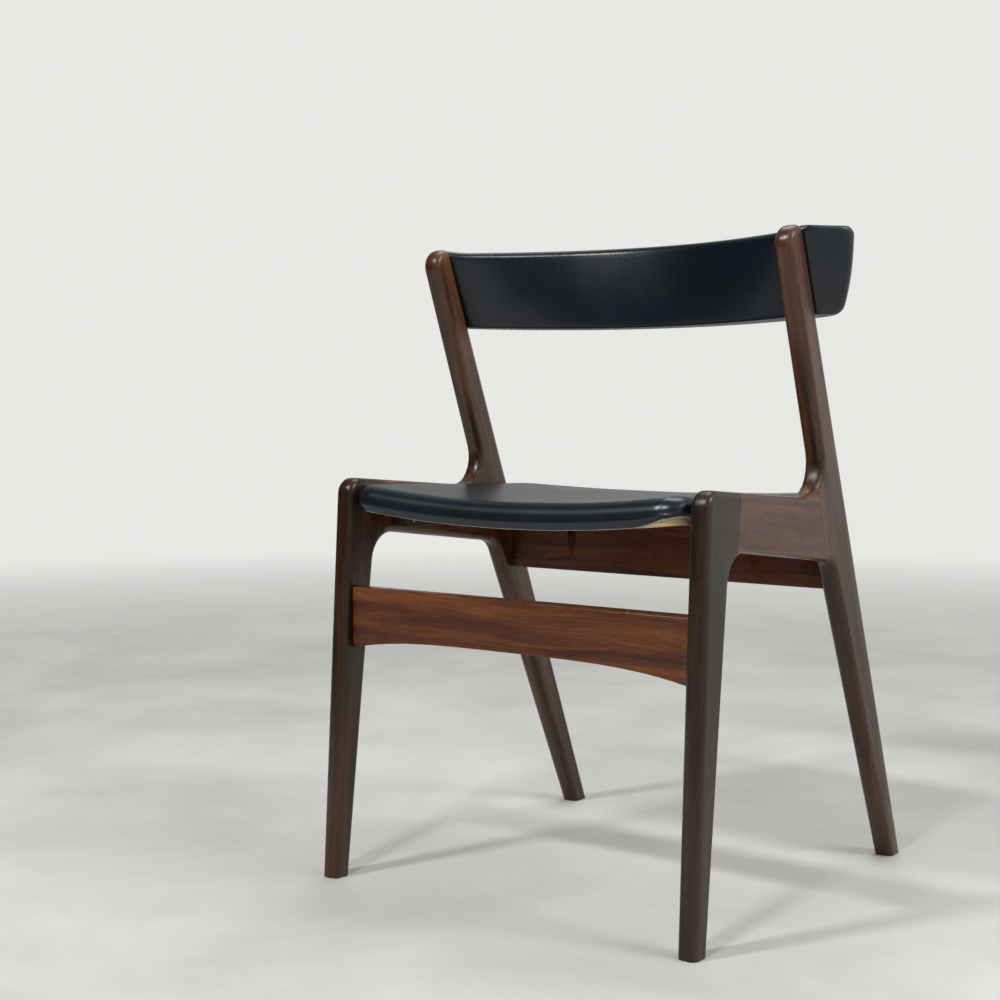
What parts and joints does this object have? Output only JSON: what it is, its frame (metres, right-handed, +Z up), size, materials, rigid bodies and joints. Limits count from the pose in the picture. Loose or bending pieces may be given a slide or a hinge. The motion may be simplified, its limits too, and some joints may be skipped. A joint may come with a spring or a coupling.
{
  "type": "dining chair",
  "caption": "Low-backed wooden dining chair with slanted rear posts, a dished padded seat and a curved padded backrest band.",
  "frame": {"origin": "on the floor, under the middle of the chair's bounding box", "axes": "+Z up, the front of the seat faces -Y, +X is the sitter's left-hand side"},
  "size_m": [0.5702, 0.5, 0.7286],
  "materials": {
    "leg_wood": "satin oiled, dark brown, straight grain along the leg",
    "frame_wood": "satin oiled, mid to dark brown with darker streaks",
    "cross_wood": "satin oiled, reddish brown, grain along the width",
    "block_wood": "planed, stained dark brown",
    "dowel_wood": "bare turned beech",
    "plywood": "bare pressed plywood with pale veneer layers",
    "foam": "aged open-cell foam",
    "vinyl": "smooth black-blue leathercloth with a soft shine and a fine grain",
    "liner": "thin grey woven lining",
    "steel": "zinc plated"
  },
  "bodies": {
    "root": {"left_front_leg": "leg_wood", "right_front_leg": "leg_wood", "left_side_rail": "frame_wood", "right_side_rail": "frame_wood", "left_rear_post": "frame_wood", "right_rear_post": "frame_wood", "front_stretcher": "cross_wood", "rear_seat_rail": "cross_wood", "left_seat_block": "block_wood", "right_seat_block": "block_wood", "seat_board": "plywood", "seat_foam": "foam", "seat_cover": "vinyl", "backrest_core": "plywood", "backrest_front_pad": "foam", "backrest_rear_pad": "foam", "backrest_cover": "vinyl", "backrest_liner": "liner", "left_leg_dowel_1": "dowel_wood", "left_leg_dowel_2": "dowel_wood", "right_leg_dowel_1": "dowel_wood", "right_leg_dowel_2": "dowel_wood", "left_post_dowel_1": "dowel_wood", "left_post_dowel_2": "dowel_wood", "right_post_dowel_1": "dowel_wood", "right_post_dowel_2": "dowel_wood", "left_stretcher_dowel_1": "dowel_wood", "left_stretcher_dowel_2": "dowel_wood", "right_stretcher_dowel_1": "dowel_wood", "right_stretcher_dowel_2": "dowel_wood", "left_rear_rail_dowel_1": "dowel_wood", "left_rear_rail_dowel_2": "dowel_wood", "right_rear_rail_dowel_1": "dowel_wood", "right_rear_rail_dowel_2": "dowel_wood", "left_back_bolt_1": "steel", "left_back_bolt_2": "steel", "right_back_bolt_1": "steel", "right_back_bolt_2": "steel", "left_block_screw": "steel", "right_block_screw": "steel", "left_rail_screw_1": "steel", "left_rail_screw_2": "steel", "right_rail_screw_1": "steel", "right_rail_screw_2": "steel", "left_pocket_screw": "steel", "right_pocket_screw": "steel"}
  },
  "joints": []
}
